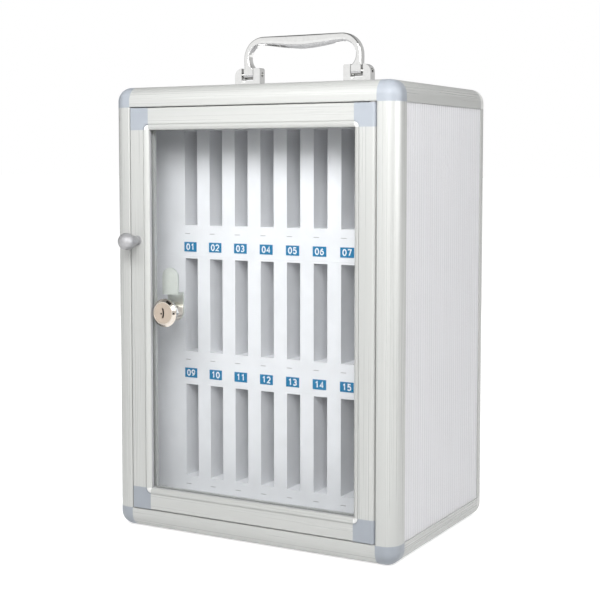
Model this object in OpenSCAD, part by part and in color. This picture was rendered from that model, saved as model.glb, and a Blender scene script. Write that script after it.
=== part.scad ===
// Locker box for mobile phones: an aluminium frame with a glazed, lockable door, a slotted rack and a carrying handle.
// Units are millimetres. X is right, Y is to the rear, Z is up. The origin is the centre of the base.

/* [Cabinet] */
// overall width of the box
body_w = 310; // [250:1:400]
// overall depth of the box
body_d = 220; // [175:1:300]
// overall height of the box without its handle
body_h = 440; // [360:1:540]
// width of the frame's face round the door
face_w = 20; // [16:0.5:26]
// radius of the frame's rounded outer edges, also the depth of its hollow bars
edge_r = 14; // [11:0.5:17]
// wall of the drawn aluminium bars
wall = 2; // [1.2:0.1:2.5]
// depth of the front bars with their panel lips
lip_front = 21; // [18:0.5:26]
// depth of the rear bars with their panel lips
lip_rear = 18; // [17:0.5:26]
// thickness of the wall sheets
panel_t = 3; // [2:0.1:3.5]
// distance between the fine grooves of the wall sheets
rib_pitch = 5; // [4:0.5:10]

/* [Rack] */
// distance from the front of the box to the front of the rack
rack_front = 63.5; // [40:0.5:90]
// clear width of one phone slot
slot_w = 15; // [10:0.5:20]
// height of the label strip under the slots of a tier
label_h = 32; // [24:0.5:40]
// height of the rack's floor over the base
rack_floor = 10; // [8:0.5:16]
// free space over the rack
rack_over = 40; // [30:1:80]
// free width at each side of the row of slots
rack_margin = 35; // [25:0.5:60]
// thickness of the moulded rack walls
rack_wall = 2; // [1.5:0.1:3]
// width of one number tag
tag_w = 14.8; // [10:0.2:20]
// height of one number tag
tag_h = 9.8; // [7:0.2:12]

/* [Door] */
// gap between the door and the frame round it
door_gap = 0.8; // [0.6:0.1:2]
// width of the door frame's bars
rail_w = 21.5; // [18:0.5:28]
// depth of the door frame's bars
door_t = 14; // [12:0.5:17]
// width of the flat front face of the door bars, outside the bead
flat_w = 15.7; // [12:0.1:20]
// thickness of the door glass
glass_t = 4; // [3:0.5:5]
// distance from the front of the door to its glass
glass_v = 6; // [5:0.5:8]
// radius of the hinge pins
pin_r = 2; // [1.5:0.1:2.5]

/* [Knob and lock] */
// height of the knob's centre over the base
knob_z = 289; // [200:1:380]
// diameter of the knob's ball
knob_d = 17; // [12:0.5:24]
// height of the lock's centre over the base
lock_z = 218; // [120:1:260]
// space between the left stile of the door and the lock's rim
lock_gap = 0.6; // [0.4:0.1:20]
// diameter of the lock's bevelled rim
rim_d = 28; // [24:0.5:34]
// diameter of the lock's barrel
barrel_d = 19; // [17:0.5:21]
// reach of the lock tongue from the lock's centre
tongue_reach = 44; // [38:0.5:50]
// width of the lock tongue
tongue_w = 18.4; // [12:0.2:22]

/* [Handle] */
// distance between the centres of the handle's feet
handle_span = 123.2; // [100:1:180]
// height of the handle over the top of the box
handle_rise = 53.9; // [50:0.5:80]
// depth of the handle from front to rear
leg_w = 10; // [8:0.5:12]
// width of a handle foot between the ears of its bracket
foot_w = 10.8; // [9:0.5:14]
// width of a handle leg at its narrowest
neck_w = 5.6; // [4:0.2:8]
// height of the grip at its middle
grip_h = 13.8; // [10:0.2:18]
// width of the inner ear of a handle bracket
ear_in = 7.8; // [6:0.2:12]
// width of the outer ear of a handle bracket
ear_out = 8; // [6:0.2:12]

/* [Hidden] */
$fn = 64;
// small clearances: between fitted pieces, and round a turning shaft
fit = 0.1;
run = 0.05;
hw = body_w / 2;
hd = body_d / 2;
// the drawn bars: lips, grooves and the end of the inner lip, from the outer face
lip_t = 1;
groove_w = panel_t + 2 * fit;
inner_lip = 1.5;
lip_end = lip_t + groove_w + inner_lip;
jamb_r = 1.5;
sheet_in = lip_t + fit;
sheet_end = edge_r + 1;
tenon_l = 15;
// the rack
slots = 8;
tiers = 3;
slot_pitch = (body_w - 2 * rack_margin) / slots;
tier_pitch = (body_h - rack_floor - rack_over) / tiers;
rack_side = hw - sheet_in - panel_t - 1.9;
plate_side = hw - face_w - 2 * fit;
rack_y = -hd + rack_front;
rack_back = hd - sheet_in - panel_t - fit;
cover_t = 2;
// the door
door_hw = hw - face_w - door_gap;
door_z0 = face_w + door_gap;
door_z1 = body_h - face_w - door_gap;
slot_bite = 13;
gasket_v = 3;
gasket_in = 18;
hollow_w = 9;
hinge_r = pin_r + 1.5;
hinge_x = door_hw - hinge_r;
hinge_y = -hd + hinge_r;
bush_r = pin_r + 0.8;
flange_r = hinge_r - 0.1;
// the tenons of the front corner pieces keep clear of the hinge bushes
bush_end = hinge_r + bush_r + 0.3;
// the lock
lock_x = -door_hw + rail_w + lock_gap + rim_d / 2;
face_d = 20.6;
plug_d = 14;
barrel_end = 23.9;
plate_v = 24;
plate_t = 2;
tongue_v = max(edge_r, door_t) + 1;
bend_z = 19.5;
square_w = 7;
mark_r = (face_d + rim_d) / 4;
mark_w = 1;
mark_l = 4;
// the handle
pivot_z = body_h + leg_w + 6;
handle_pin_r = 2.2;
top_sheet = body_h - sheet_in;
bracket_t = 1.2;
leg_x = handle_span / 2;
ear_gap = 0.5;
ear_space = 2.7;
ear_top = pivot_z + 6.5;

// placing and mirroring
module right() { mirror([1, 0, 0]) children(); }
module low() { translate([0, 0, body_h]) mirror([0, 0, 1]) children(); }

// takes the sharp corner at the origin off a profile
module corner_cut(r) {
  difference() {
    translate([-1, -1]) square(r + 1);
    translate([r, r]) circle(r);
  }
}

// front bar: x runs inwards across the face, y runs to the rear
module front_section() {
  difference() {
    square([face_w, lip_front]);
    corner_cut(edge_r);
    translate([face_w, 0]) mirror([1, 0]) corner_cut(jamb_r);
    translate([wall, wall]) difference() {
      square([face_w - 2 * wall, edge_r - 2 * wall]);
      corner_cut(edge_r - wall);
    }
    translate([lip_t, edge_r]) square([groove_w, lip_front]);
    translate([lip_end, edge_r]) square([face_w, lip_front]);
  }
}

// edge bar with two panel grooves: legs of length a along x and b along y
module edge_section(a, b) {
  difference() {
    square([a, b]);
    corner_cut(edge_r);
    translate([wall, wall]) difference() {
      square(edge_r - 2 * wall);
      corner_cut(edge_r - wall);
    }
    translate([lip_t, edge_r]) square([groove_w, b]);
    translate([edge_r, lip_t]) square([a, groove_w]);
    translate([lip_end, edge_r]) square([a, b]);
    translate([edge_r, lip_end]) square([a, b]);
  }
}

// the left and top bars; the others are their mirror images
module post_front() {
  translate([-hw, -hd, face_w]) linear_extrude(body_h - 2 * face_w) front_section();
}
module post_rear() {
  translate([-hw, hd, face_w]) mirror([0, 1, 0]) linear_extrude(body_h - 2 * face_w) edge_section(face_w, lip_rear);
}
module hinge_hole() {
  translate([hinge_x, hinge_y, body_h - face_w - 1]) cylinder(r = bush_r, h = 11);
}
module rail_front() {
  difference() {
    translate([face_w - hw, -hd, body_h]) rotate([0, 90, 0])
      linear_extrude(body_w - 2 * face_w) front_section();
    hinge_hole();
  }
}
module rail_rear() {
  translate([face_w - hw, hd, body_h]) mirror([0, 1, 0]) rotate([0, 90, 0])
    linear_extrude(body_w - 2 * face_w) edge_section(face_w, lip_rear);
}
module rail_side() {
  translate([-hw, lip_front - hd, body_h]) rotate([-90, 0, 0])
    linear_extrude(body_d - lip_front - lip_rear) edge_section(face_w, face_w);
}

// corner block with three rounded edges that meet in a ball: x inwards, y in depth, z inwards
module quarter_rod(len) {
  linear_extrude(len) intersection() {
    circle(edge_r);
    translate([-edge_r, -edge_r]) square(edge_r);
  }
}
module ball_block(a, b, c) {
  translate([edge_r, edge_r, 0]) cube([a - edge_r, b - edge_r, c]);
  translate([edge_r, 0, edge_r]) cube([a - edge_r, b, c - edge_r]);
  translate([0, edge_r, edge_r]) cube([a, b - edge_r, c - edge_r]);
  translate([edge_r, edge_r, edge_r]) {
    quarter_rod(c - edge_r);
    rotate([90, 0, 90]) quarter_rod(a - edge_r);
    mirror([0, 1, 0]) rotate([90, 0, 0]) quarter_rod(b - edge_r);
    intersection() {
      sphere(edge_r);
      translate([-edge_r, -edge_r, -edge_r]) cube(edge_r);
    }
  }
}
module corner_front() {
  translate([-hw, -hd, body_h]) mirror([0, 0, 1]) {
    difference() {
      ball_block(face_w, lip_front, face_w);
      translate([lip_t, edge_r, edge_r]) cube([groove_w, lip_front, face_w]);
      translate([edge_r, edge_r, lip_t]) cube([face_w, lip_front, groove_w]);
    }
    translate([wall + 5, wall + 3, face_w - 1])
      cube([face_w - 2 * wall - 5 - fit, edge_r - 2 * wall - 3 - fit, tenon_l]);
    translate([face_w - 1, bush_end, wall + 5])
      cube([tenon_l, edge_r - wall - fit - bush_end, face_w - 2 * wall - 5 - fit]);
    translate([wall + 4, lip_front - 1, wall + 4])
      cube([edge_r - 2 * wall - 4 - fit, tenon_l, edge_r - 2 * wall - 4 - fit]);
  }
}
module corner_rear() {
  translate([-hw, hd, body_h]) mirror([0, 1, 0]) mirror([0, 0, 1]) {
    difference() {
      ball_block(face_w, lip_rear, face_w);
      translate([lip_t, edge_r, edge_r]) cube([groove_w, lip_rear, face_w]);
      translate([edge_r, edge_r, lip_t]) cube([face_w, lip_rear, groove_w]);
      translate([edge_r, lip_t, edge_r]) cube([face_w, groove_w, face_w]);
    }
    translate([wall + 4, wall + 4, face_w - 1])
      cube([edge_r - 2 * wall - 4 - fit, edge_r - 2 * wall - 4 - fit, tenon_l]);
    translate([face_w - 1, wall + 4, wall + 4])
      cube([tenon_l, edge_r - 2 * wall - 4 - fit, edge_r - 2 * wall - 4 - fit]);
    translate([wall + 4, lip_rear - 1, wall + 4])
      cube([edge_r - 2 * wall - 4 - fit, tenon_l, edge_r - 2 * wall - 4 - fit]);
  }
}

// grooved wall sheet: x is the thickness from the outer face, y its length
module ribbed_sheet(len) {
  count = floor((len - 4) / rib_pitch);
  difference() {
    square([panel_t, len]);
    for (i = [0 : count])
      translate([-1, len / 2 + (i - count / 2) * rib_pitch - 0.7]) square([1.15, 1.4]);
  }
}
module panel_side() {
  translate([-hw + sheet_in, sheet_end - hd, sheet_end])
    linear_extrude(body_h - 2 * sheet_end) ribbed_sheet(body_d - 2 * sheet_end);
}
// sheet with a full field flush with the frame and thin edges in its grooves
module rebated_sheet(w, h) {
  translate([-w / 2 + sheet_end, -h / 2 + sheet_end, sheet_in])
    cube([w - 2 * sheet_end, h - 2 * sheet_end, panel_t]);
}

// one phone tier: shelf with its label strip, dividers, cover
module shelf(z) {
  difference() {
    union() {
      translate([-rack_side, rack_y, z + fit]) cube([2 * rack_side, rack_wall, label_h - fit]);
      translate([-plate_side, rack_y, z + label_h - rack_wall]) cube([2 * plate_side, rack_back - rack_y, rack_wall]);
    }
    for (side = [-1, 1])
      translate([side * hw, rack_y, 0]) cube([2 * (edge_r + fit), 10, 2 * (edge_r + fit)], center = true);
  }
}
module divider_channel(w) {
  difference() {
    square([w, rack_back - rack_y]);
    translate([rack_wall - 0.4, rack_wall]) square([w - 2 * rack_wall + 0.8, rack_back - rack_y]);
  }
}
module divider_end() {
  square([rack_side - slots * slot_pitch / 2 + (slot_pitch - slot_w) / 2, rack_wall]);
  translate([rack_side - slots * slot_pitch / 2 + (slot_pitch - slot_w) / 2 - rack_wall, 0])
    square([rack_wall, rack_back - rack_y]);
}
module dividers(z) {
  h = tier_pitch - label_h - cover_t;
  for (i = [1 : slots - 1])
    translate([(i - slots / 2) * slot_pitch - (slot_pitch - slot_w) / 2, rack_y, z + label_h])
      linear_extrude(h) divider_channel(slot_pitch - slot_w);
  translate([-rack_side, rack_y, z + label_h]) linear_extrude(h) divider_end();
  right() translate([-rack_side, rack_y, z + label_h]) linear_extrude(h) divider_end();
}
module cover(z) {
  translate([-rack_side, rack_y, z + tier_pitch - cover_t]) cube([2 * rack_side, rack_wall, cover_t]);
  translate([-plate_side, rack_y, z + tier_pitch - cover_t])
    cube([2 * plate_side, rack_back - rack_y, cover_t]);
}

// front of the sloping bead round the glass: x is the distance from its inner edge
bead_w = rail_w - flat_w - 1;
bead_r = bead_w + 1.4;
module bead_cut() {
  difference() {
    translate([0, -1]) square([bead_w, 3.5]);
    translate([bead_w, bead_r]) circle(bead_r);
  }
}

// door bar: x inwards from the door's edge, y to the rear, outer front edge rounded by r
module door_section(r) {
  difference() {
    square([rail_w, door_t]);
    corner_cut(r);
    translate([rail_w, 0]) mirror([1, 0]) bead_cut();
    translate([wall, wall]) square([hollow_w, door_t - 2 * wall]);
    translate([slot_bite, glass_v - fit / 2]) square([rail_w, glass_t + fit]);
    translate([gasket_in, gasket_v]) square([rail_w, glass_v - gasket_v]);
    translate([flat_w, -1]) square([1, 1.8]);
  }
}
// corner piece of the door: x and z inwards from the door's edges, y to the rear
module door_corner(r) {
  difference() {
    cube([rail_w, door_t, rail_w]);
    linear_extrude(rail_w) corner_cut(r);
    translate([slot_bite, glass_v - fit / 2, slot_bite]) cube([rail_w, glass_t + fit, rail_w]);
    translate([gasket_in, gasket_v, gasket_in]) cube([rail_w, glass_v - gasket_v, rail_w]);
    translate([rail_w, 0, rail_w]) rotate([-90, 0, 0]) {
      translate([0, 0, -1]) difference() {
        cylinder(r = rail_w - flat_w, h = 1.8);
        translate([0, 0, -1]) cylinder(r = rail_w - flat_w - 1, h = 4);
      }
      rotate_extrude() bead_cut();
    }
  }
  translate([wall + fit, wall + fit, rail_w - 1])
    cube([hollow_w - 2 * fit, door_t - 2 * wall - 2 * fit, tenon_l]);
  translate([rail_w - 1, wall + fit, wall + fit])
    cube([tenon_l, door_t - 2 * wall - 2 * fit, hollow_w - 2 * fit]);
}
module at_door_low_left() { translate([-door_hw, -hd, door_z0]) children(); }
module door_low_right() { translate([door_hw, -hd, door_z0]) mirror([1, 0, 0]) children(); }
module hinge_bore() {
  translate([hinge_x, hinge_y, door_z0 - 1]) cylinder(r = pin_r + 0.01, h = 11.5);
}
module door_hinge_corner() {
  difference() {
    door_low_right() door_corner(hinge_r);
    hinge_bore();
  }
}

module at_lock() { translate([lock_x, -hd, lock_z]) rotate([-90, 0, 0]) children(); }

// handle: outer and inner outline of one half, from the foot (m = 0) to the middle (m = 1)
grip_top = body_h + handle_rise;
shoulder_r = 22;
hook_r = 12.8;
thin = 8.7;
foot_o = leg_x + foot_w / 2;
foot_i = leg_x - foot_w / 2;
hook_x = foot_o - neck_w - hook_r;
hook_z = grip_top - thin - hook_r;
hook_a = acos(min(max((foot_i - hook_x) / hook_r, 0), 1));
foot_z = hook_z - hook_r * sin(hook_a);
rings = 26;
spokes = 20;
function seg(m, a, b) = min(max((m - a) / (b - a), 0), 1);
function out_x(m) = foot_o - shoulder_r * (1 - cos(90 * seg(m, 0.28, 0.6)))
  - (foot_o - shoulder_r) * seg(m, 0.6, 1);
function out_z(m) = pivot_z + 2 + (grip_top - shoulder_r - pivot_z - 2) * seg(m, 0, 0.28)
  + shoulder_r * sin(90 * seg(m, 0.28, 0.6));
function hook(m) = seg(m, 0.1, 0.28) * hook_a - hook_a + 90 * seg(m, 0.28, 0.6);
function in_x(m) = m < 0.1 ? foot_i : hook_x + hook_r * cos(hook(m)) - hook_x * seg(m, 0.6, 1);
function in_z(m) = m < 0.1 ? pivot_z + 2 + (foot_z - pivot_z - 2) * seg(m, 0, 0.1)
  : hook_z + hook_r * sin(hook(m)) - (grip_h - thin) * pow((1 - cos(180 * seg(m, 0.6, 1))) / 2, 0.75);
// squarish section of the legs, with a rounder belly under the grip
function round_off(m, c) = c > 0 ? 0.4 : 0.4 + 0.5 * seg(m, 0.5, 0.75);
function bulge(c, e) = sign(c) * pow(abs(c), e);
function ring_point(m, side, a) = [
  side * ((out_x(m) + in_x(m)) / 2 + bulge(cos(a), round_off(m, cos(a))) * (out_x(m) - in_x(m)) / 2),
  bulge(sin(a), round_off(m, cos(a))) * leg_w / 2,
  (out_z(m) + in_z(m)) / 2 + bulge(cos(a), round_off(m, cos(a))) * (out_z(m) - in_z(m)) / 2];
function ring_m(k) = k <= rings ? k / rings : 2 - k / rings;
module grip_loft() {
  points = [for (k = [0 : 2 * rings]) for (j = [0 : spokes - 1])
    ring_point(ring_m(k), k <= rings ? -1 : 1, 360 * j / spokes)];
  sides = [for (k = [0 : 2 * rings - 1]) for (j = [0 : spokes - 1])
    [k * spokes + j, k * spokes + (j + 1) % spokes,
     (k + 1) * spokes + (j + 1) % spokes, (k + 1) * spokes + j]];
  first = [for (j = [0 : spokes - 1]) spokes - 1 - j];
  last = [for (j = [0 : spokes - 1]) 2 * rings * spokes + j];
  polyhedron(points = points, faces = concat([first], sides, [last]), convexity = 6);
}
module foot() {
  translate([-leg_x, 0, pivot_z]) {
    rotate([0, 90, 0]) cylinder(r = leg_w / 2, h = foot_w, center = true);
    translate([-foot_w / 2, -leg_w / 2, 0]) cube([foot_w, leg_w, foot_z - pivot_z - 0.6]);
  }
}
module pivot_bore(r) {
  translate([-leg_x, 0, pivot_z]) rotate([0, 90, 0]) cylinder(r = r, h = 60, center = true);
}
// bracket of the left leg: plate and two ears, seen from the front
module ear_outer() {
  translate([-leg_x - foot_w / 2 - ear_space - ear_out, leg_w / 2, top_sheet]) rotate([90, 0, 0])
    linear_extrude(leg_w) difference() {
      square([ear_out, ear_top - top_sheet]);
      translate([0, ear_top - top_sheet]) mirror([0, 1]) corner_cut(ear_out);
    }
}
module ear_inner() {
  translate([-leg_x + foot_w / 2 + ear_gap, leg_w / 2, top_sheet]) rotate([90, 0, 0])
    linear_extrude(leg_w) difference() {
      square([ear_in, ear_top - top_sheet]);
      translate([ear_in, ear_top - top_sheet]) mirror([0, 1]) mirror([1, 0]) corner_cut(2);
    }
}
// block between the ears, a little below the turning foot
module saddle(y0, y1, gap) {
  translate([-leg_x - foot_w / 2 - ear_space - 1, y0, top_sheet])
    cube([foot_w + ear_space + ear_gap + 2, y1 - y0, pivot_z - leg_w / 2 - gap - top_sheet]);
}
rivet_y = 12;
module bracket() {
  difference() {
    union() {
      translate([-leg_x - foot_w / 2 - ear_space - ear_out, -rivet_y - 5, top_sheet])
        cube([ear_out + ear_space + foot_w + ear_gap + ear_in, 2 * rivet_y + 10, bracket_t]);
      ear_outer();
      ear_inner();
      saddle(-leg_w / 2, 0, 2.6);
      saddle(-1, leg_w / 2, 0.8);
    }
    pivot_bore(handle_pin_r + 0.02);
    for (y = [-rivet_y, rivet_y])
      translate([-leg_x, y, top_sheet - 1]) cylinder(r = 2.05, h = 10);
  }
}
module rivet(y) {
  translate([-leg_x, y, 0]) {
    translate([0, 0, top_sheet - panel_t - 1.5]) cylinder(r = 3.5, h = 1.5);
    translate([0, 0, top_sheet - panel_t - 1]) cylinder(r = 2, h = panel_t + bracket_t + 1.3);
    translate([0, 0, top_sheet + bracket_t]) cylinder(r1 = 3.5, r2 = 2.6, h = 0.8);
  }
}

module post_front_left() { color("silver") post_front(); }
module post_front_right() { color("silver") right() post_front(); }
module post_rear_left() { color("silver") post_rear(); }
module post_rear_right() { color("silver") right() post_rear(); }
module rail_front_top() { color("silver") rail_front(); }
module rail_front_bottom() { color("silver") low() rail_front(); }
module rail_rear_top() { color("silver") rail_rear(); }
module rail_rear_bottom() { color("silver") low() rail_rear(); }
module rail_side_top_left() { color("silver") rail_side(); }
module rail_side_top_right() { color("silver") right() rail_side(); }
module rail_side_bottom_left() { color("silver") low() rail_side(); }
module rail_side_bottom_right() { color("silver") low() right() rail_side(); }
module corner_front_top_left() { color("lightsteelblue") corner_front(); }
module corner_front_top_right() { color("lightsteelblue") right() corner_front(); }
module corner_front_bottom_left() { color("lightsteelblue") low() corner_front(); }
module corner_front_bottom_right() { color("lightsteelblue") low() right() corner_front(); }
module corner_rear_top_left() { color("gainsboro") corner_rear(); }
module corner_rear_top_right() { color("gainsboro") right() corner_rear(); }
module corner_rear_bottom_left() { color("gainsboro") low() corner_rear(); }
module corner_rear_bottom_right() { color("gainsboro") low() right() corner_rear(); }

module panel_left() { color("whitesmoke") panel_side(); }
module panel_right() { color("whitesmoke") right() panel_side(); }
module panel_top() {
  color("whitesmoke") difference() {
    translate([sheet_end - hw, body_d / 2 - sheet_end, top_sheet]) rotate([90, 90, 0])
      linear_extrude(body_d - 2 * sheet_end) ribbed_sheet(body_w - 2 * sheet_end);
    for (x = [-leg_x, leg_x])
      for (y = [-rivet_y, rivet_y])
        translate([x, y, top_sheet - 10]) cylinder(r = 2.05, h = 20);
  }
}
module panel_bottom() {
  color("whitesmoke") {
    rebated_sheet(body_w, body_d);
    translate([-hw + face_w + 0.5, -hd + lip_front + 0.5, 0])
      cube([body_w - 2 * face_w - 1, body_d - lip_front - lip_rear - 1, sheet_in + panel_t]);
  }
}
screw_x = (slots - 1) * slot_pitch;
screw_z = 2 * tier_pitch;
screw_mid = rack_floor + 1.5 * tier_pitch + label_h / 2 - cover_t / 2;
module panel_back() {
  color("whitesmoke") difference() {
    translate([0, hd, body_h / 2]) rotate([90, 0, 0]) {
      rebated_sheet(body_w, body_h);
      translate([-hw + face_w + 0.5, -body_h / 2 + face_w + 0.5, 0])
        cube([body_w - 2 * face_w - 1, body_h - 2 * face_w - 1, sheet_in + panel_t]);
    }
    for (x = [-screw_x / 2, screw_x / 2])
      for (z = [-screw_z / 2, screw_z / 2])
        translate([x, hd + 5, screw_mid + z]) rotate([90, 0, 0]) cylinder(r = 2.75, h = 15);
  }
}
module floor_board() {
  color("white") translate([-plate_side, -hd + lip_front + fit, sheet_in + panel_t])
    cube([2 * plate_side, body_d - lip_front - lip_rear - 2 * fit, rack_floor - sheet_in - panel_t]);
}

module shelf_top() { color("white") shelf(rack_floor + 2 * tier_pitch); }
module shelf_middle() { color("white") shelf(rack_floor + tier_pitch); }
module shelf_bottom() { color("white") shelf(rack_floor); }
module dividers_top() { color("white") dividers(rack_floor + 2 * tier_pitch); }
module dividers_middle() { color("white") dividers(rack_floor + tier_pitch); }
module dividers_bottom() { color("white") dividers(rack_floor); }
module rack_covers() {
  color("white") for (t = [0 : tiers - 1])
    cover(rack_floor + t * tier_pitch);
}
module number_tags() {
  color("steelblue") for (t = [0 : tiers - 1])
    for (i = [0 : slots - 1])
      translate([(i + 0.5 - slots / 2) * slot_pitch - 1 - tag_w / 2, rack_y - 0.4, rack_floor + t * tier_pitch + 5])
        cube([tag_w, 0.4, tag_h]);
}

module handle_brackets() {
  color("silver") {
    bracket();
    right() bracket();
  }
}
module handle_rivets() {
  color("silver") for (y = [-rivet_y, rivet_y]) {
    rivet(y);
    right() rivet(y);
  }
}
module handle_pins() {
  color("silver") for (side = [0, 1])
    mirror([side, 0, 0])
      translate([-leg_x - foot_w / 2 - ear_space - ear_out / 2, 0, pivot_z]) rotate([0, 90, 0])
        cylinder(r = handle_pin_r, h = ear_out / 2 + ear_space + foot_w + ear_gap + ear_in / 2);
}
module bush() {
  difference() {
    union() {
      translate([hinge_x, hinge_y, body_h - face_w - door_gap + 0.1]) cylinder(r = flange_r, h = door_gap - 0.1);
      translate([hinge_x, hinge_y, body_h - face_w - 0.5]) cylinder(r = bush_r - 0.01, h = 9);
    }
    translate([hinge_x, hinge_y, body_h - face_w - 5]) cylinder(r = pin_r + run, h = 20);
  }
}
module hinge_bushes() {
  color("ivory") {
    bush();
    low() bush();
  }
}

module handle_grip() {
  color("lightgrey") difference() {
    union() {
      grip_loft();
      foot();
      right() foot();
    }
    pivot_bore(handle_pin_r + run);
    right() pivot_bore(handle_pin_r + run);
  }
}

module door_stile(r) {
  translate([0, 0, rail_w]) linear_extrude(door_z1 - door_z0 - 2 * rail_w) door_section(r);
}
module door_stile_left() {
  color("silver") difference() {
    at_door_low_left() door_stile(1);
    translate([-door_hw + flat_w / 2, -hd - 5, knob_z]) rotate([-90, 0, 0]) cylinder(r = 2.1, h = 30);
  }
}
module door_stile_right() { color("silver") door_low_right() door_stile(hinge_r); }
module door_rail() {
  translate([rail_w - door_hw, -hd, door_z0]) mirror([0, 0, 1]) rotate([0, 90, 0])
    linear_extrude(2 * (door_hw - rail_w)) door_section(1);
}
module door_rail_top() { color("silver") low() door_rail(); }
module door_rail_bottom() { color("silver") door_rail(); }
module door_corner_top_left() { color("lightsteelblue") low() at_door_low_left() door_corner(1); }
module door_corner_top_right() { color("lightsteelblue") low() door_hinge_corner(); }
module door_corner_bottom_left() { color("lightsteelblue") at_door_low_left() door_corner(1); }
module door_corner_bottom_right() { color("lightsteelblue") door_hinge_corner(); }
module door_glass() {
  color("lightcyan", 0.4) difference() {
    translate([-door_hw + slot_bite + fit, -hd + glass_v, door_z0 + slot_bite + fit])
      cube([2 * (door_hw - slot_bite - fit), glass_t, door_z1 - door_z0 - 2 * (slot_bite + fit)]);
    at_lock() cylinder(d = barrel_d + 0.4, h = 30);
  }
}
module door_gasket() {
  color("dimgray") difference() {
    translate([-door_hw + gasket_in + fit, -hd + gasket_v + fit / 2, door_z0 + gasket_in + fit])
      cube([2 * (door_hw - gasket_in - fit), glass_v - gasket_v - fit / 2, door_z1 - door_z0 - 2 * (gasket_in + fit)]);
    translate([-door_hw + rail_w - 0.3, -hd, door_z0 + rail_w - 0.3])
      cube([2 * (door_hw - rail_w + 0.3), 30, door_z1 - door_z0 - 2 * (rail_w - 0.3)]);
  }
}
module hinge_pin() {
  translate([hinge_x, hinge_y, door_z0 - door_gap - 7]) cylinder(r = pin_r, h = 7 + door_gap + 10);
}
module hinge_pins() {
  color("silver") {
    hinge_pin();
    low() hinge_pin();
  }
}

// turned knob: x is the radius, y the distance in front of the door
module door_knob() {
  color("silver") translate([-door_hw + flat_w / 2, -hd, knob_z]) rotate([90, 0, 0]) difference() {
    union() {
      cylinder(r = 4.9, h = 1.2);
      cylinder(r = 4.1, h = 3);
      translate([0, 0, 2.4]) cylinder(r1 = 4.3, r2 = knob_d / 2 - 0.5, h = 13);
      translate([0, 0, 18]) sphere(d = knob_d);
    }
    translate([0, 0, -1]) cylinder(r = 2.01, h = 13);
  }
}
module knob_screw() {
  color("silver") translate([-door_hw + flat_w / 2, -hd, knob_z]) rotate([90, 0, 0]) difference() {
    union() {
      translate([0, 0, -door_t]) cylinder(r = 2, h = door_t + 11);
      translate([0, 0, -door_t - 2]) cylinder(r1 = 2.8, r2 = 3.8, h = 2);
    }
    translate([-0.5, -5, -door_t - 3]) cube([1, 10, 1.8]);
    translate([-5, -0.5, -door_t - 3]) cube([10, 1, 1.8]);
  }
}

module lock_housing() {
  color("silver") at_lock() difference() {
    union() {
      translate([0, 0, glass_v - 1]) cylinder(d = rim_d, h = 1);
      translate([0, 0, glass_v - 3.5]) cylinder(r1 = face_d / 2 + 0.9, r2 = rim_d / 2, h = 2.5);
      translate([0, 0, glass_v - 0.5]) cylinder(d = barrel_d, h = barrel_end - glass_v + 0.5);
    }
    translate([0, 0, glass_v - 5]) cylinder(d = face_d + 2 * run, h = 4 + run);
    cylinder(d = plug_d + 2 * run, h = 40);
    // marks of the two key positions, sunk into the bevel
    rotate([0, 0, 30]) translate([-mark_l / 2, -mark_r - mark_w, 0]) cube([mark_l, 2 * mark_w, glass_v - 1.5]);
    for (x = [-mark_l / 2, mark_l / 2])
      rotate([0, 0, 30]) translate([x, -mark_r, 0]) cylinder(r = mark_w, h = glass_v - 1.5);
    translate([mark_r, 0, 0]) cylinder(r = mark_w, h = glass_v - 1.5);
  }
}
module lock_nut() {
  color("silver") at_lock() translate([0, 0, glass_v + glass_t]) difference() {
    cylinder(d = barrel_d + 4, h = 3.5, $fn = 6);
    translate([0, 0, -1]) cylinder(d = barrel_d + 0.04, h = 10);
  }
}
module lock_plug() {
  color("tan") at_lock() difference() {
    union() {
      translate([0, 0, glass_v - 3.2]) cylinder(d = face_d, h = 2.2);
      translate([0, 0, glass_v - 1.5]) cylinder(d = plug_d, h = plate_v - glass_v + 1.5);
      translate([-square_w / 2, -square_w / 2, plate_v - 0.5]) cube([square_w, square_w, plate_t + 0.7]);
    }
    // the curved key slot and the small notch beside it
    translate([0, 0, -1]) linear_extrude(glass_v + 4) {
      intersection() {
        translate([-12, 0]) difference() {
          circle(13.2);
          circle(11.4);
        }
        translate([-2, -5]) square([5, 10]);
      }
      translate([-2.4, 0.6]) circle(1);
    }
    translate([0, 0, plate_v - 4]) cylinder(r = 2.01, h = 10);
  }
}
module lock_tongue() {
  color("beige") {
    difference() {
      union() {
        at_lock() translate([0, 0, plate_v]) cylinder(d = barrel_d, h = plate_t);
        translate([lock_x - tongue_w / 2, plate_v - hd, lock_z]) cube([tongue_w, plate_t, bend_z]);
      }
      translate([lock_x - square_w / 2 - run, plate_v - hd - 1, lock_z - square_w / 2 - run])
        cube([square_w + 2 * run, 5, square_w + 2 * run]);
    }
    translate([lock_x - tongue_w / 2, tongue_v - hd, lock_z + bend_z - plate_t])
      cube([tongue_w, plate_v + plate_t - tongue_v, plate_t]);
    translate([lock_x - tongue_w / 2, tongue_v - hd, lock_z + bend_z - plate_t])
      cube([tongue_w, plate_t, tongue_reach - tongue_w / 2 - bend_z + plate_t]);
    at_lock() translate([0, tongue_w / 2 - tongue_reach, tongue_v]) cylinder(d = tongue_w, h = plate_t);
  }
}
module tongue_screw() {
  color("silver") at_lock() difference() {
    union() {
      translate([0, 0, plate_v - 3.5]) cylinder(r = 2, h = plate_t + 4.5);
      translate([0, 0, plate_v + plate_t + 0.2]) cylinder(r = 5.2, h = 0.8);
      translate([0, 0, plate_v + plate_t + 0.9]) cylinder(r1 = 3.8, r2 = 2.9, h = 2);
    }
    translate([-0.5, -5, plate_v + plate_t + 1.6]) cube([1, 10, 5]);
    translate([-5, -0.5, plate_v + plate_t + 1.6]) cube([10, 1, 5]);
  }
}

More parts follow.
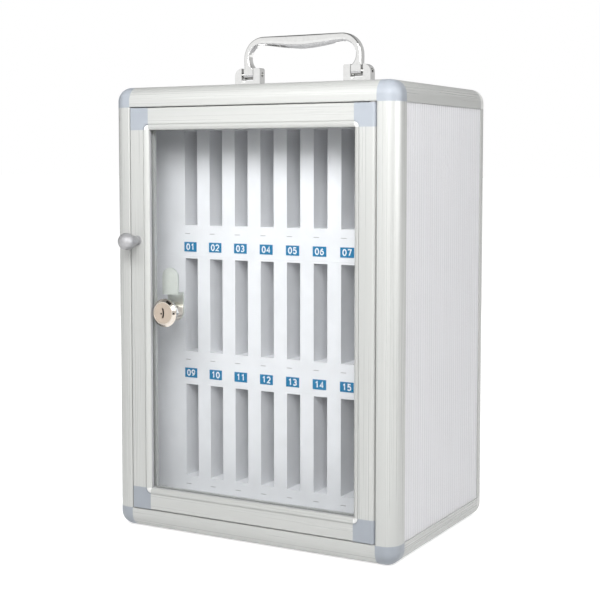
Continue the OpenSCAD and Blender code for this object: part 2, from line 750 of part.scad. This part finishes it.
post_front_left();
post_front_right();
post_rear_left();
post_rear_right();
rail_front_top();
rail_front_bottom();
rail_rear_top();
rail_rear_bottom();
rail_side_top_left();
rail_side_top_right();
rail_side_bottom_left();
rail_side_bottom_right();
corner_front_top_left();
corner_front_top_right();
corner_front_bottom_left();
corner_front_bottom_right();
corner_rear_top_left();
corner_rear_top_right();
corner_rear_bottom_left();
corner_rear_bottom_right();
panel_left();
panel_right();
panel_top();
panel_bottom();
panel_back();
floor_board();
shelf_top();
shelf_middle();
shelf_bottom();
dividers_top();
dividers_middle();
dividers_bottom();
rack_covers();
number_tags();
handle_brackets();
handle_rivets();
handle_pins();
hinge_bushes();
handle_grip();
door_stile_left();
door_stile_right();
door_rail_top();
door_rail_bottom();
door_corner_top_left();
door_corner_top_right();
door_corner_bottom_left();
door_corner_bottom_right();
door_glass();
door_gasket();
hinge_pins();
door_knob();
knob_screw();
lock_housing();
lock_nut();
lock_plug();
lock_tongue();
tongue_screw();
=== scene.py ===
"""Looks of the phone locker box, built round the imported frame. Units are metres."""

import math

import bmesh
import bpy
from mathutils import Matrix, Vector


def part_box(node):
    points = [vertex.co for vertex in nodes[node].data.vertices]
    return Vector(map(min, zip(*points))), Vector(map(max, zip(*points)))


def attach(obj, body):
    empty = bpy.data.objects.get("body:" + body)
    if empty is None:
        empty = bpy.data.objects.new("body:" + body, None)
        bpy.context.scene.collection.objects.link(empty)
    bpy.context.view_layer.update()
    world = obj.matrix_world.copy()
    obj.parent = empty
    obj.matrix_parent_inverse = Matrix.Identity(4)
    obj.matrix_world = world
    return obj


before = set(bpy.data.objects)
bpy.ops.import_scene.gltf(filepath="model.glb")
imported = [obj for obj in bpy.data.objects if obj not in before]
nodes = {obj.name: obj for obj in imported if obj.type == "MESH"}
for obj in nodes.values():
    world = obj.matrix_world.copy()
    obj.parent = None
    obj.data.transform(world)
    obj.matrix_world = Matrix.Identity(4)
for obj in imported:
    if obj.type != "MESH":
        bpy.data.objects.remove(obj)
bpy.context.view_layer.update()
scene = bpy.context.scene
scene.view_settings.view_transform = "Standard"

# Places that the looks line up with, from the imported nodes
stile_low, stile_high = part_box("door_stile_right")
lock_low, lock_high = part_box("lock_housing")
FRONT_Y = stile_low.y
MIDDLE_Z = (stile_low.z + stile_high.z) / 2
GLASS_X = stile_low.x
GLASS_Z = stile_high.z - MIDDLE_Z
LOCK_X = (lock_low.x + lock_high.x) / 2
LOCK_Z = (lock_low.z + lock_high.z) / 2
TAG_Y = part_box("number_tags")[0].y

# The rack: pitch of its slots and tiers, and height of the first tier's lower edge
SLOTS, TIERS = 8, 3
PITCH, TIER, SEAM = 0.030, 0.130, 0.010

# The wall sheets' ribs: their pitch, and where the painted shade in a groove fades, in pitches from its
# middle
RIB_PITCH = 0.005
GROOVE_FADE = (0.11, 0.15)

# The bead on the door's corners: its reach from the glass's corner, and the width of its colour's edge
BEAD_REACH = 0.0047
COLOUR_EDGE = 0.0002


# Materials


class Look:
    """A material with one Principled shader, and short calls for the nodes round it."""

    def __init__(self, name, colour, metallic=0.0, roughness=0.5, **sockets):
        self.mat = bpy.data.materials.new(name)
        self.mat.use_nodes = True
        self.tree = self.mat.node_tree
        self.tree.nodes.clear()
        self.out = self.tree.nodes.new("ShaderNodeOutputMaterial")
        self.bsdf = self.tree.nodes.new("ShaderNodeBsdfPrincipled")
        self.link(self.bsdf.outputs[0], self.out.inputs[0])
        self.colour = colour
        self.base = None
        self.roughness = roughness
        self.bsdf.inputs["Base Color"].default_value = (*colour, 1)
        self.bsdf.inputs["Metallic"].default_value = metallic
        self.bsdf.inputs["Roughness"].default_value = roughness
        for key, value in sockets.items():
            self.bsdf.inputs[key.replace("_", " ")].default_value = value

    def link(self, a, b):
        self.tree.links.new(a, b)

    def node(self, kind, **values):
        n = self.tree.nodes.new(kind)
        for key, value in values.items():
            setattr(n, key, value)
        return n

    def place(self):
        """Where a point is in the part's frame, because each node's object sits at the origin."""
        return self.node("ShaderNodeTexCoord").outputs["Object"]

    def number(self, operation, first, second=None):
        """Math on a socket and, where it takes two, a plain number."""
        n = self.node("ShaderNodeMath", operation=operation)
        self.link(first, n.inputs[0])
        if second is not None:
            n.inputs[1].default_value = second
        return n.outputs[0]

    def vector(self, operation, first, second=None):
        """Vector math on a socket and, where it takes two, a plain vector."""
        n = self.node("ShaderNodeVectorMath", operation=operation)
        self.link(first, n.inputs[0])
        if second is not None:
            n.inputs[1].default_value = second
        return n.outputs["Value" if operation == "LENGTH" else "Vector"]

    def mix(self, fac, low, high):
        """The colour low where fac is 0 and high where it is 1; each is plain or a socket."""
        n = self.node("ShaderNodeMix", data_type="RGBA", blend_type="MIX")
        self.link(fac, n.inputs[0])
        for colour, socket in ((low, n.inputs[6]), (high, n.inputs[7])):
            if isinstance(colour, bpy.types.NodeSocket):
                self.link(colour, socket)
            else:
                socket.default_value = (*colour, 1)
        return n.outputs[2]

    def noise(self, scale, stretch=(1, 1, 1), detail=2.0, rough=0.5):
        """Noise in object space; stretch multiplies the frequency along each axis."""
        mapping = self.node("ShaderNodeMapping")
        mapping.inputs["Scale"].default_value = [scale * s for s in stretch]
        self.link(self.place(), mapping.inputs["Vector"])
        noise = self.node("ShaderNodeTexNoise")
        noise.inputs["Scale"].default_value = 1
        noise.inputs["Detail"].default_value = detail
        noise.inputs["Roughness"].default_value = rough
        self.link(mapping.outputs[0], noise.inputs["Vector"])
        return noise.outputs["Fac"]

    def ramp(self, fac, low, high, start=0.3, end=0.7):
        """fac from start to end becomes low to high."""
        n = self.node("ShaderNodeMapRange")
        for key, value in (("From Min", start), ("From Max", end), ("To Min", low), ("To Max", high)):
            n.inputs[key].default_value = value
        self.link(fac, n.inputs["Value"])
        return n.outputs[0]

    def dye(self, colour):
        """Give the shader a colour from a socket, and keep it for what is mixed over it."""
        self.base = colour
        self.link(colour, self.bsdf.inputs["Base Color"])

    def tone(self, factor):
        """The base colour times a factor."""
        return [factor * c for c in self.colour]

    def shade(self, fac, low, high=1.0):
        """The base colour times a factor that runs from low to high with fac."""
        self.dye(self.mix(self.ramp(fac, 0, 1), self.tone(low), self.tone(high)))

    def rough(self, fac, spread):
        around = self.ramp(fac, self.roughness - spread, self.roughness + spread)
        self.link(around, self.bsdf.inputs["Roughness"])

    def bump(self, fac, depth, strength=1.0):
        n = self.node("ShaderNodeBump")
        n.inputs["Strength"].default_value = strength
        n.inputs["Distance"].default_value = depth
        self.link(fac, n.inputs["Height"])
        self.link(n.outputs[0], self.bsdf.inputs["Normal"])


# Frequencies that draw noise out into lines along each axis
LINES = {"X": (0.004, 1, 1), "Y": (1, 0.004, 1), "Z": (1, 1, 0.004)}


def drawn_aluminium(along):
    """Satin anodised aluminium with fine lines along the bar."""
    look = Look("aluminium_" + along.lower(), (0.49, 0.497, 0.483), metallic=0.2, roughness=0.3)
    lines = look.noise(900, LINES[along], detail=3, rough=0.6)
    look.shade(look.noise(140, LINES[along]), 0.975, 1.015)
    look.rough(lines, 0.05)
    look.bump(lines, 0.00002, 0.12)
    return look.mat


def ribbed_sheet(node, through, across, along):
    """Wall sheet with ribs along one axis, side by side across another: fine lines, painted shade in
    the grooves that the solid has, and an inner face painted a darker grey as the shade inside the box."""
    look = Look("ribbed_sheet_" + through, (0.76, 0.76, 0.78), metallic=0.15, roughness=0.5)
    lines = look.noise(700, LINES[along], detail=3, rough=0.6)
    look.shade(lines, 0.92, 1.03)
    look.rough(lines, 0.05)
    look.bump(lines, 0.00005, 0.6)
    axes = look.node("ShaderNodeSeparateXYZ")
    look.link(look.place(), axes.inputs[0])
    rib = look.number("FRACT", look.number("MULTIPLY", axes.outputs[across], 1 / RIB_PITCH))
    gap = look.number("ABSOLUTE", look.number("SUBTRACT", rib, 0.5))
    # Painted shade: the base colour darkened in the ribs' grooves, where shade falls
    groove_painted_shade = look.mix(look.ramp(gap, 0, 1, *GROOVE_FADE), look.tone(0.80), look.base)
    middle = sum(getattr(corner, through.lower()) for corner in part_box(node)) / 2
    depth = look.number("ABSOLUTE", axes.outputs[through])
    outside = look.ramp(depth, 0, 1, middle - COLOUR_EDGE / 2, middle)
    # Painted shade: the inner face, inside the box, gets a darker grey than the outer face
    look.dye(look.mix(outside, (0.57, 0.575, 0.59), groove_painted_shade))
    return look.mat


def plastic(name, colour, roughness=0.42, grain=1600, depth=0.00002, **sockets):
    """Plastic, print or rubber with a fine grain; the look itself, for what goes over it."""
    look = Look(name, colour, roughness=roughness, **sockets)
    fine = look.noise(grain)
    look.shade(look.noise(60, detail=3), 0.97, 1.02)
    look.rough(fine, 0.05)
    look.bump(fine, depth, 0.6)
    return look


def door_corner_plastic(colour):
    """The plastic of the door's corners, with the bead round the glass in the bars' colour."""
    look = plastic("door_corner_plastic", colour, 0.36)
    folded = look.vector("ABSOLUTE", look.vector("SUBTRACT", look.place(), (0, 0, MIDDLE_Z)))
    apart = look.vector("SUBTRACT", folded, (GLASS_X, 0, GLASS_Z))
    reach = look.vector("LENGTH", look.vector("MULTIPLY", apart, (1, 0, 1)))
    beyond = look.ramp(reach, 0, 1, BEAD_REACH, BEAD_REACH + COLOUR_EDGE)
    look.dye(look.mix(beyond, (0.70, 0.70, 0.69), look.base))
    return look.mat


def polished(name, colour, roughness, waves=90, depth=0.00003, spread=0.03, metallic=1.0):
    """Bare or plated metal with slight waves and small changes of shade."""
    look = Look(name, colour, metallic=metallic, roughness=roughness)
    fine = look.noise(waves, detail=3)
    look.shade(look.noise(240), 0.93)
    look.rough(fine, spread)
    look.bump(fine, depth, 0.4)
    return look.mat


def either(tree, fac, first, second):
    """One shader where fac is 0, and the other where it is 1."""
    mix = tree.nodes.new("ShaderNodeMixShader")
    for value, socket in zip((fac, first, second), mix.inputs):
        tree.links.new(value, socket)
    return mix.outputs[0]


def clear_glass():
    """Thin clear pane: see-through, with the mirror of its faces by angle."""
    look = Look("clear_glass", (1, 1, 1))
    clear = look.node("ShaderNodeBsdfTransparent")
    clear.inputs[0].default_value = (0.960, 0.965, 0.967, 1)
    gloss = look.node("ShaderNodeBsdfGlossy")
    look.link(look.ramp(look.noise(14, detail=3), 0.02, 0.08), gloss.inputs["Roughness"])
    # Facing is the same on both faces, where a Fresnel node turns the back one into a mirror
    weight = look.node("ShaderNodeLayerWeight")
    weight.inputs["Blend"].default_value = 0.5
    steep = look.ramp(look.number("POWER", weight.outputs["Facing"], 5.0), 0.018, 0.75, 0, 1)
    look.link(either(look.tree, steep, clear.outputs[0], gloss.outputs[0]), look.out.inputs[0])
    look.tree.nodes.remove(look.bsdf)
    return look.mat


alu = {axis: drawn_aluminium(axis) for axis in LINES}
side_sheet = ribbed_sheet("panel_right", "X", "Y", "Z")
top_sheet = ribbed_sheet("panel_top", "Z", "X", "Y")
bluish_grey = (0.322, 0.349, 0.387)
corner_front = plastic("corner_plastic", bluish_grey, 0.4).mat
corner_door = door_corner_plastic(bluish_grey)
corner_rear = plastic("rear_corner_plastic", (0.70, 0.705, 0.69)).mat
board = plastic("white_board", (0.80, 0.80, 0.80), 0.6).mat
rack = plastic("rack_plastic", (0.86, 0.865, 0.885), 0.38, 900).mat
tags = plastic("tag_film", (0.003, 0.19, 0.395), 0.4, 2500, 0.00001, Specular_IOR_Level=0.1).mat
ink_white = plastic("tag_ink", (0.90, 0.92, 0.94), 0.45, 2500, 0.00001).mat
ink_grey = plastic("line_ink", (0.36, 0.36, 0.36), 0.5, 2500, 0.00001).mat
bush = plastic("bush_plastic", (0.22, 0.22, 0.22)).mat
rubber = plastic("gasket_rubber", (0.42, 0.42, 0.43), 0.6).mat
# Black for the painted reflection on the lock's bevel and the painted shade in its key slot
black = plastic("painted_reflection_and_shade_black", (0.010, 0.009, 0.008), 0.5, Specular_IOR_Level=0.1).mat
chrome = polished("plated_metal", (0.82, 0.82, 0.81), 0.12, 40, 0.00001, 0.02)
steel = polished("zinc_steel", (0.60, 0.60, 0.59), 0.32)
knob_metal = polished("knob_metal", (0.38, 0.38, 0.39), 0.5, 300, metallic=0.5)
lock_ring = polished("lock_ring", (0.64, 0.585, 0.52), 0.2, 60, 0.00001)
nickel = polished("lock_nickel", (0.56, 0.47, 0.39), 0.34, 500)
plated = polished("plated_tongue", (0.76, 0.79, 0.74), 0.4)
glass = clear_glass()


def paint(material, *names):
    """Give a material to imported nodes."""
    for name in names:
        for slot in nodes[name].material_slots:
            slot.material = material


for side in ("left", "right"):
    paint(alu["Z"], "post_front_" + side, "post_rear_" + side, "door_stile_" + side)
    for end in ("top", "bottom"):
        paint(alu["Y"], f"rail_side_{end}_{side}")
        paint(corner_front, f"corner_front_{end}_{side}")
        paint(corner_door, f"door_corner_{end}_{side}")
        paint(corner_rear, f"corner_rear_{end}_{side}")
for end in ("top", "bottom"):
    paint(alu["X"], "rail_front_" + end, "rail_rear_" + end, "door_rail_" + end)
for tier in ("top", "middle", "bottom"):
    paint(rack, "shelf_" + tier, "dividers_" + tier)
paint(rack, "rack_covers")
paint(side_sheet, "panel_left", "panel_right")
paint(top_sheet, "panel_top")
paint(board, "panel_bottom", "panel_back", "floor_board")
paint(tags, "number_tags")
paint(chrome, "handle_brackets", "handle_grip", "lock_nut")
paint(lock_ring, "lock_housing")
paint(steel, "handle_rivets", "handle_pins", "hinge_pins", "knob_screw", "tongue_screw")
paint(bush, "hinge_bushes")
paint(glass, "door_glass")
paint(rubber, "door_gasket")
paint(knob_metal, "door_knob")
paint(nickel, "lock_plug")
paint(plated, "lock_tongue")


# Pieces that only the visual model has


def piece(name, bm, material, body):
    """A finished mesh that rides on a body and takes its finish from a slot."""
    bmesh.ops.recalc_face_normals(bm, faces=bm.faces)
    mesh = bpy.data.meshes.new(name)
    bm.to_mesh(mesh)
    bm.free()
    mesh.materials.append(material)
    obj = bpy.data.objects.new(name, mesh)
    scene.collection.objects.link(obj)
    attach(obj, body)


def prism(bm, outline, front, back):
    """A flat plate between two depths; outline is a list of (x, z), seen from the front."""
    near = [bm.verts.new((x, front, z)) for x, z in outline]
    far = [bm.verts.new((x, back, z)) for x, z in outline]
    bm.faces.new(near)
    bm.faces.new(list(reversed(far)))
    for k in range(len(outline)):
        j = (k + 1) % len(outline)
        bm.faces.new((near[j], near[k], far[k], far[j]))


def arc(x, z, rx, rz, start, end, steps=14):
    """Points on a stretch of an ellipse, from one angle to another in degrees."""
    angles = [math.radians(start + (end - start) * k / steps) for k in range(steps + 1)]
    return [(x + rx * math.cos(a), z + rz * math.sin(a)) for a in angles]


def disc(bm, x, z, r, front, back, corners=24):
    """A round plate between two depths."""
    prism(bm, arc(x, z, r, r, 0, 360 - 360 / corners, corners - 1), front, back)


def ribbon(bm, path, width, front, back):
    """A stroke of constant width along a path of (x, z)."""
    left, right = [], []
    for k, (x, z) in enumerate(path):
        ahead = Vector(path[min(k + 1, len(path) - 1)]) - Vector(path[k])
        behind = Vector(path[k]) - Vector(path[max(k - 1, 0)])
        one = ahead.normalized() if ahead.length > 1e-9 else behind.normalized()
        two = behind.normalized() if behind.length > 1e-9 else one
        mean = (one + two).normalized() if (one + two).length > 0.3 else one
        reach = width / 2 / max(mean.dot(one), 0.6)
        side = Vector((-mean.y, mean.x)) * reach
        left.append((x + side.x, z + side.y))
        right.append((x - side.x, z - side.y))
    for k in range(len(path) - 1):
        prism(bm, [left[k], right[k], right[k + 1], left[k + 1]], front, back)


# Each digit as strokes in a field 1 wide and FIELD_H high
FIELD_H = 1.5
STROKES = {
    "0": [arc(0.5, 0.75, 0.46, 0.75, 90, 450, 24)],
    "1": [[(0.2, 1.18), (0.6, 1.5), (0.6, 0)]],
    "2": [arc(0.5, 1.06, 0.44, 0.44, 165, -35) + [(0.06, 0), (0.98, 0)]],
    "3": [arc(0.46, 1.12, 0.42, 0.38, 150, -85) + arc(0.46, 0.38, 0.46, 0.38, 85, -150)],
    "4": [[(0.74, 0), (0.74, 1.5), (0.04, 0.44), (1.0, 0.44)]],
    "5": [[(0.9, 1.5), (0.2, 1.5), (0.14, 0.8)] + arc(0.46, 0.47, 0.46, 0.47, 120, -150)],
    "6": [[(0.84, 1.44)] + arc(0.9, 0.56, 0.84, 0.9, 118, 180, 6) + arc(0.5, 0.46, 0.44, 0.46, 180, 540, 20)],
    "7": [[(0.03, 1.5), (0.97, 1.5), (0.4, 0)]],
    "8": [arc(0.5, 1.13, 0.37, 0.37, -90, 270, 20) + arc(0.5, 0.38, 0.45, 0.38, 90, 450, 20)],
    "9": [[(0.16, 0.06)] + arc(0.1, 0.94, 0.84, 0.9, -62, 0, 6) + arc(0.5, 1.04, 0.44, 0.46, 0, 360, 20)],
}

# The print: size of a digit, width of its stroke, space between two digits, and its two depths
DIGIT_W, DIGIT_H, STROKE, SPACE = 0.0037, 0.0057, 0.00125, 0.0017
DIGIT_Y = (TAG_Y - 0.00005, TAG_Y + 0.00002)
# A tag's middle, from the middle of its slot and from its tier's lower edge
TAG_AT = (-0.001, 0.0099)
# A thin line: its left end from the middle of its slot and its tier's lower edge, outline and depths
LINE_AT = (-0.0075, 0.0235)
LINE_OUTLINE = [(0, -0.0003), (0.0055, -0.0003), (0.006, 0), (0.0055, 0.0003), (0, 0.0003), (-0.0004, 0)]
STRIP_Y = TAG_Y + 0.0004
LINE_Y = (STRIP_Y - 0.00006, STRIP_Y + 0.00002)


def slots():
    """The number of each slot, the x of its middle and the z of its tier's lower edge."""
    for tier in range(TIERS):
        for i in range(SLOTS):
            number = (TIERS - 1 - tier) * SLOTS + i + 1
            yield number, (i - (SLOTS - 1) / 2) * PITCH, SEAM + tier * TIER


def tag_digits():
    """The plain slot numbers 01 to 24 as thin raised print, joined in one mesh."""
    bm = bmesh.new()
    for number, middle, edge in slots():
        x0 = middle + TAG_AT[0] - (2 * DIGIT_W + SPACE) / 2
        z0 = edge + TAG_AT[1] - DIGIT_H / 2
        for place, digit in enumerate(f"{number:02d}"):
            x = x0 + place * (DIGIT_W + SPACE)
            for stroke in STROKES[digit]:
                path = [(x + u * DIGIT_W, z0 + v * DIGIT_H / FIELD_H) for u, v in stroke]
                ribbon(bm, path, STROKE, *DIGIT_Y)
    piece("tag_digits", bm, ink_white, "cabinet")


def thin_lines():
    """One short thin line over each number, printed on the label strip."""
    bm = bmesh.new()
    for _, middle, edge in slots():
        x, z = middle + LINE_AT[0], edge + LINE_AT[1]
        prism(bm, [(x + u, z + v) for u, v in LINE_OUTLINE], *LINE_Y)
    piece("label_lines", bm, ink_grey, "cabinet")


# The lock's marks, a painted reflection in its bevel: half their width, half the oblong one's straight part,
# and their distance from the lock's middle, with the turn of the oblong one in degrees and the depths of the
# dark spots
MARK_R, MARK_HALF, MARK_RING = 0.00095, 0.002, 0.01215
MARK_TURN = -30
MARK_Y = (FRONT_Y + 0.00415, FRONT_Y + 0.0045)
# The key slot's painted shade: an arc about a point left of the lock's middle, its two radii and half its
# angle
KEY_X, KEY_OUTER, KEY_INNER, KEY_SWING = -0.012, 0.01315, 0.01145, 21.8
NOTCH_X, NOTCH_Z, NOTCH_R = -0.0024, -0.0006, 0.00095
KEY_Y = (FRONT_Y + 0.0036, FRONT_Y + 0.0042)


def painted_reflection_spots():
    """Two black marks on the lock's bevel: a painted reflection of something dark in its metal."""
    bm = bmesh.new()
    # Painted reflection: dark spots stand in for what the bevel's metal mirrors
    oblong = [(x + MARK_HALF, z) for x, z in arc(0, 0, MARK_R, MARK_R, -90, 90, 12)]
    oblong += [(x - MARK_HALF, z) for x, z in arc(0, 0, MARK_R, MARK_R, 90, 270, 12)]
    c, s = math.cos(math.radians(MARK_TURN)), math.sin(math.radians(MARK_TURN))
    turned = [(x * c - (z + MARK_RING) * s, x * s + (z + MARK_RING) * c) for x, z in oblong]
    prism(bm, [(LOCK_X + x, LOCK_Z + z) for x, z in turned], *MARK_Y)
    disc(bm, LOCK_X + MARK_RING, LOCK_Z, MARK_R, *MARK_Y)
    piece("painted_reflection_spots", bm, black, "door")


def keyway_painted_shade():
    """Painted shade: a dark sheet at the bottom of the key slot and of the notch beside it, where shade falls
    in their depth.
    """
    bm = bmesh.new()
    outline = arc(LOCK_X + KEY_X, LOCK_Z, KEY_OUTER, KEY_OUTER, -KEY_SWING, KEY_SWING)
    outline += arc(LOCK_X + KEY_X, LOCK_Z, KEY_INNER, KEY_INNER, KEY_SWING, -KEY_SWING)
    # Painted shade: black where the slot and notch are deep
    prism(bm, outline, *KEY_Y)
    disc(bm, LOCK_X + NOTCH_X, LOCK_Z + NOTCH_Z, NOTCH_R, *KEY_Y)
    piece("keyway_painted_shade", bm, black, "lock")


tag_digits()
thin_lines()
painted_reflection_spots()
keyway_painted_shade()


# Stage

# The floor: half its side, how far it lies under the part, and the distances from the middle between
# which its own glow rises, with that glow at both
FLOOR_HALF, FLOOR_DROP = 30, 0.0002
GLOW_NEAR, GLOW_FAR = 0.68, 1.0
GLOW_LOW, GLOW_HIGH = 0.3, 1.6
# The world's light on matt surfaces, and what mirrors see of it: all round, above, in front of the
# part, as a spot at its right and behind it
WORLD_LIGHT = 0.2
WORLD_SIDES, WORLD_ABOVE = 0.36, 0.04
WORLD_FRONT, WORLD_SPOT, WORLD_BEHIND = 0.92, 8.0, 0.4


def fold(tree, operation, values):
    """One socket from several by a Math operation."""
    total = values[0]
    for value in values[1:]:
        n = tree.nodes.new("ShaderNodeMath")
        n.operation = operation
        tree.links.new(total, n.inputs[0])
        tree.links.new(value, n.inputs[1])
        total = n.outputs[0]
    return total


def beam(tree, *kinds):
    """1 for the given kinds of ray, else 0."""
    path = tree.nodes.new("ShaderNodeLightPath")
    return fold(tree, "MAXIMUM", [path.outputs[kind] for kind in kinds])


def white_floor():
    """White floor: what sees it directly finds it white, with a soft shadow under the object."""
    bm = bmesh.new()
    bmesh.ops.create_grid(bm, x_segments=1, y_segments=1, size=FLOOR_HALF)
    mesh = bpy.data.meshes.new("floor")
    bm.to_mesh(mesh)
    bm.free()
    look = Look("floor_paint", (0.7, 0.7, 0.7), roughness=0.9, Specular_IOR_Level=0.0)
    look.shade(look.noise(3), 0.985)
    far = look.vector("LENGTH", look.place())
    glow = look.node("ShaderNodeMath", operation="MULTIPLY")
    look.link(look.ramp(far, GLOW_NEAR, GLOW_FAR, GLOW_LOW, GLOW_HIGH), glow.inputs[0])
    look.link(beam(look.tree, "Is Camera Ray", "Is Glossy Ray", "Is Transmission Ray"), glow.inputs[1])
    white = look.node("ShaderNodeEmission")
    look.link(glow.outputs[0], white.inputs["Strength"])
    add = look.node("ShaderNodeAddShader")
    look.link(look.bsdf.outputs[0], add.inputs[0])
    look.link(white.outputs[0], add.inputs[1])
    look.link(add.outputs[0], look.out.inputs[0])
    mesh.materials.append(look.mat)
    floor = bpy.data.objects.new("floor", mesh)
    floor.location.z = -FLOOR_DROP
    scene.collection.objects.link(floor)


def by_direction(tree, towards, low, high, dim, full):
    """A soft step from dim to full by the cosine between a ray and the given direction."""
    where = tree.nodes.new("ShaderNodeTexCoord")
    dot = tree.nodes.new("ShaderNodeVectorMath")
    dot.operation = "DOT_PRODUCT"
    dot.inputs[1].default_value = Vector(towards).normalized()
    tree.links.new(where.outputs["Generated"], dot.inputs[0])
    step = tree.nodes.new("ShaderNodeMapRange")
    step.interpolation_type = "SMOOTHSTEP"
    for key, value in (("From Min", low), ("From Max", high), ("To Min", dim), ("To Max", full)):
        step.inputs[key].default_value = value
    tree.links.new(dot.outputs["Value"], step.inputs["Value"])
    return step.outputs[0]


def sky(tree, *parts):
    """A background as bright as the sum of its parts."""
    back = tree.nodes.new("ShaderNodeBackground")
    tree.links.new(fold(tree, "ADD", parts), back.inputs["Strength"])
    return back.outputs[0]


def studio():
    """White to look at; it lights from the front, top and right. Mirrors see a bright front and
    a bright spot at the right, with grey round them and dark above."""
    world = bpy.data.worlds.new("studio")
    scene.world = world
    world.use_nodes = True
    tree = world.node_tree
    tree.nodes.clear()
    out = tree.nodes.new("ShaderNodeOutputWorld")
    light = sky(tree, by_direction(tree, (0.35, -0.72, 0.60), -0.7, 0.5, 0.6 * WORLD_LIGHT, WORLD_LIGHT))
    mirror = sky(
        tree,
        by_direction(tree, (0, 0, 1), 0.3, 0.8, WORLD_SIDES, WORLD_ABOVE),
        by_direction(tree, (-0.30, -0.94, 0.10), 0.3, 0.8, 0, WORLD_FRONT),
        by_direction(tree, (1, 0, 0.12), 0.88, 0.97, 0, WORLD_SPOT),
        by_direction(tree, (0.485, 0.875, 0.1), 0.5, 0.85, 0, WORLD_BEHIND),
    )
    white = tree.nodes.new("ShaderNodeBackground")
    white.inputs["Color"].default_value = (1, 1, 1, 1)
    unseen = either(tree, beam(tree, "Is Glossy Ray"), light, mirror)
    seen = beam(tree, "Is Camera Ray", "Is Transmission Ray")
    tree.links.new(either(tree, seen, unseen, white.outputs[0]), out.inputs[0])


def softbox(name, place, target, size, watts, mirrored=True):
    """An area lamp aimed at a point; size is its width and height."""
    data = bpy.data.lights.new(name, "AREA")
    data.shape = "RECTANGLE"
    data.size, data.size_y = size
    data.energy = watts
    obj = bpy.data.objects.new(name, data)
    obj.location = place
    obj.rotation_mode = "QUATERNION"
    obj.rotation_quaternion = (Vector(target) - Vector(place)).to_track_quat("-Z", "Y")
    obj.visible_camera = False
    obj.visible_glossy = mirrored
    scene.collection.objects.link(obj)


white_floor()
studio()
softbox("key", (0.75, -1.5, 1.0), (0, 0, 0.22), (0.9, 0.8), 16.8)
softbox("top", (0.04, -0.5, 0.62), (0, -0.1, 0.3), (0.5, 0.2), 2.7, mirrored=False)
softbox("right", (0.85, -0.35, 0.95), (0, 0, 0.3), (0.5, 0.4), 4.8)
softbox("back", (-1.1, 1.1, 0.85), (0, 0, 0.25), (1.0, 0.8), 20, mirrored=False)

# The camera, fitted to the frame's corners in the photograph: place, focal length and sensor width in
# millimetres, shift, and its turns in degrees down from level and about the vertical
CAMERA_PLACE = (0.6340, -1.1441, 0.3646)
FOCAL, SENSOR = 77.4, 36
SHIFT_X, SHIFT_Y = -0.00385, -0.08
DOWN, TURN = 3.907, 29.03

lens = bpy.data.cameras.new("camera")
camera = bpy.data.objects.new("camera", lens)
scene.collection.objects.link(camera)
scene.camera = camera
lens.sensor_width = SENSOR
lens.lens = FOCAL
lens.shift_x = SHIFT_X
lens.shift_y = SHIFT_Y
camera.location = CAMERA_PLACE
camera.rotation_euler = (math.radians(90 - DOWN), 0, math.radians(TURN))
